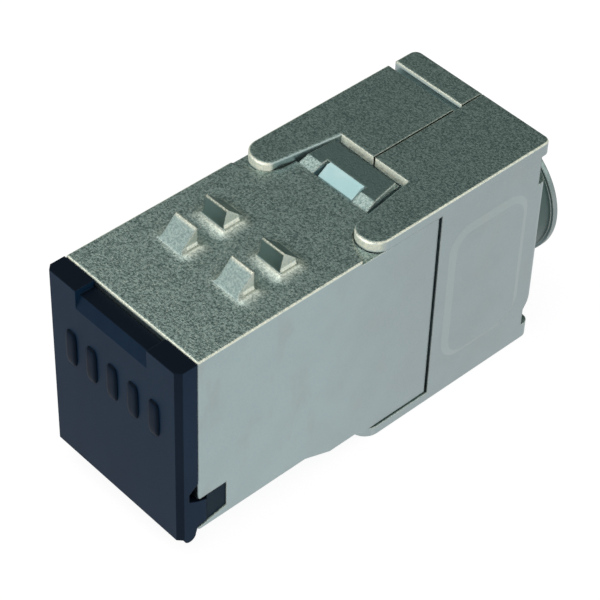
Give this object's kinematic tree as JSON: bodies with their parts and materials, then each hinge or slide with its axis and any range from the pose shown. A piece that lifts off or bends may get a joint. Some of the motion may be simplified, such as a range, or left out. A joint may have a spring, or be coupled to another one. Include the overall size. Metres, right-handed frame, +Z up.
{
  "type": "shielded keystone jack",
  "caption": "Die-cast shielded keystone jack: hinged dust flap over a modular plug port, two swinging rear doors closing round the cable outlet, and a spring latch below.",
  "frame": {"origin": "on the axis of the modular plug port, in the plane of the housing's front edge", "axes": "+X to the right seen from the front, +Y rearwards to the cable outlet, +Z up towards the fixed lugs"},
  "size_m": [0.015, 0.0404, 0.0214],
  "materials": {
    "cast_nickel": "satin nickel plate on a zinc casting",
    "black_plastic": "moulded, matt",
    "flap_plastic": "moulded, satin",
    "block_plastic": "moulded, matt",
    "cap_plastic": "moulded, translucent white",
    "board_laminate": "solder mask on glass laminate",
    "spring_steel": "rolled sheet",
    "gold_bronze": "gold flash",
    "tin_bronze": "tin plate"
  },
  "bodies": {
    "jack": {"housing": "cast_nickel", "port_insert": "black_plastic", "circuit_board": "board_laminate", "idc_block": "block_plastic", "wire_cap": "cap_plastic", "shield_spring_left": "spring_steel", "shield_spring_right": "spring_steel", "contact_1": "gold_bronze", "contact_2": "gold_bronze", "contact_3": "gold_bronze", "contact_4": "gold_bronze", "contact_5": "gold_bronze", "contact_6": "gold_bronze", "contact_7": "gold_bronze", "contact_8": "gold_bronze", "idc_1": "tin_bronze", "idc_2": "tin_bronze", "idc_3": "tin_bronze", "idc_4": "tin_bronze", "idc_5": "tin_bronze", "idc_6": "tin_bronze", "idc_7": "tin_bronze", "idc_8": "tin_bronze"},
    "flap": {"dust_flap": "flap_plastic"},
    "left_leaf": {"left_door": "cast_nickel"},
    "right_leaf": {"right_door": "cast_nickel"},
    "latch": {"keystone_latch": "spring_steel"}
  },
  "joints": [
    {"name": "flap_hinge", "type": "hinge", "parent": "jack", "child": "flap", "pos_m": [0, -0.00082, -0.00885], "axis": [1, 0, 0], "range_deg": [0, 90]},
    {"name": "left_door_hinge", "type": "hinge", "parent": "jack", "child": "left_leaf", "pos_m": [-0.00584, 0.0182, 0], "axis": [0, 0, 1], "range_deg": [0, 90]},
    {"name": "right_door_hinge", "type": "hinge", "parent": "jack", "child": "right_leaf", "pos_m": [0.00584, 0.0182, 0], "axis": [0, 0, -1], "range_deg": [0, 90]},
    {"name": "latch_spring", "type": "hinge", "parent": "jack", "child": "latch", "pos_m": [0, 0.0032, -0.00905], "axis": [1, 0, 0], "range_deg": [0, 7], "stiffness_Nm_per_rad": 0.24}
  ]
}
